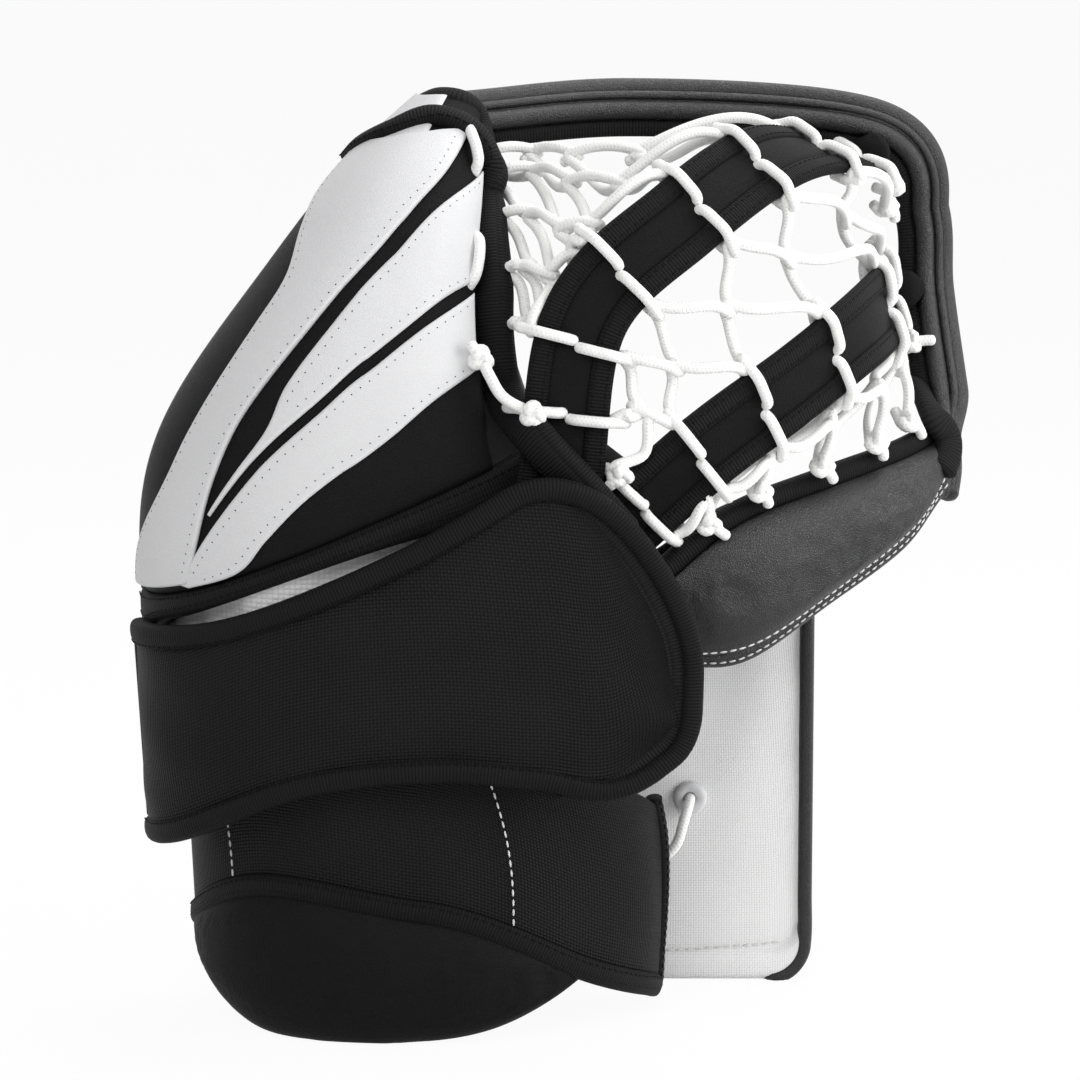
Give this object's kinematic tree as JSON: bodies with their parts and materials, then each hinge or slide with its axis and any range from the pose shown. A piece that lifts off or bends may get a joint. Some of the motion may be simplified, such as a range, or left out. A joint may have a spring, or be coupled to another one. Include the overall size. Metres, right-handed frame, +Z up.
{
  "type": "goalie catch glove",
  "caption": "Goalie catch glove for the left hand, standing on its cuff: laced pocket with T-straps between finger and thumb halves that close along a break, and a wrist strap that opens.",
  "frame": {"origin": "middle of the bounding box at the floor it stands on", "axes": "+Z up along the hand, +X towards the thumb, +Y towards the catching side"},
  "size_m": [0.3832, 0.2028, 0.4195],
  "materials": {
    "black_leather": "grained, satin",
    "black_nylon": "ballistic weave, matt",
    "black_binding": "woven tape, matt",
    "white_leather": "smooth, satin",
    "white_liner": "padded, matt",
    "white_nylon": "woven, matt",
    "white_lace": "braided, matt",
    "grey_foam": "foam, matt",
    "grey_felt": "felt, matt"
  },
  "bodies": {
    "hand": {"anchor_tab": "black_nylon", "crotch_leather": "black_leather", "cuff_core": "grey_foam", "cuff_edge_trim": "black_binding", "cuff_face": "black_leather", "cuff_gusset": "black_nylon", "cuff_lace": "white_lace", "cuff_lining": "white_nylon", "divider_index": "white_liner", "divider_middle": "white_liner", "divider_ring": "white_liner", "finger_base_binding": "black_binding", "finger_board": "grey_foam", "finger_edge_roll": "black_leather", "finger_face": "black_leather", "finger_panel": "black_leather", "fingertip_binding": "black_binding", "hand_liner": "white_liner", "lace_button": "white_leather", "loop_patch": "black_binding", "net_finger": "white_lace", "net_middle_finger_half": "white_lace", "overlay_lower": "white_leather", "overlay_middle": "white_leather", "overlay_outer": "white_leather", "palm_leather": "black_leather", "pinky_edge_roll": "black_leather", "rim_top_back_roll": "black_leather", "rim_top_face_roll": "black_leather", "rim_top_piping": "black_leather", "rim_top_tape": "black_binding", "t_strap_finger_core": "black_leather", "t_strap_finger_finger_binding": "black_binding", "t_strap_finger_thumb_binding": "black_binding", "wrist_band": "black_nylon", "wrist_band_binding": "black_binding", "wrist_pad": "black_leather"},
    "thumb": {"net_middle_thumb_half": "white_lace", "net_thumb": "white_lace", "rim_side_back_roll": "black_leather", "rim_side_face_roll": "black_leather", "rim_side_piping": "black_leather", "rim_side_tape": "black_binding", "t_strap_thumb_core": "black_leather", "t_strap_thumb_finger_binding": "black_binding", "t_strap_thumb_thumb_binding": "black_binding", "thumb_back_pad": "black_leather", "thumb_edge_binding": "black_binding", "thumb_face": "black_leather", "thumb_foam_lower": "grey_foam", "thumb_foam_upper": "grey_foam", "thumb_stall": "grey_felt", "thumb_tip_loop": "black_binding", "thumb_welt": "black_leather"},
    "strap": {"hook_patch": "black_binding", "strap_hinge_roll": "black_binding", "strap_lobe_roll": "black_leather", "strap_lower_binding": "black_binding", "strap_panel": "black_nylon", "strap_upper_binding": "black_binding"}
  },
  "joints": [
    {"name": "thumb_close", "type": "hinge", "parent": "hand", "child": "thumb", "pos_m": [0.02, -0.066, 0.268], "axis": [0.6255, 0.677, 0.388], "range_deg": [0, 28]},
    {"name": "strap_open", "type": "hinge", "parent": "hand", "child": "strap", "pos_m": [-0.18421, -0.01596, 0.13018], "axis": [0.0555, 0.0207, -0.9982], "range_deg": [0, 105]}
  ]
}
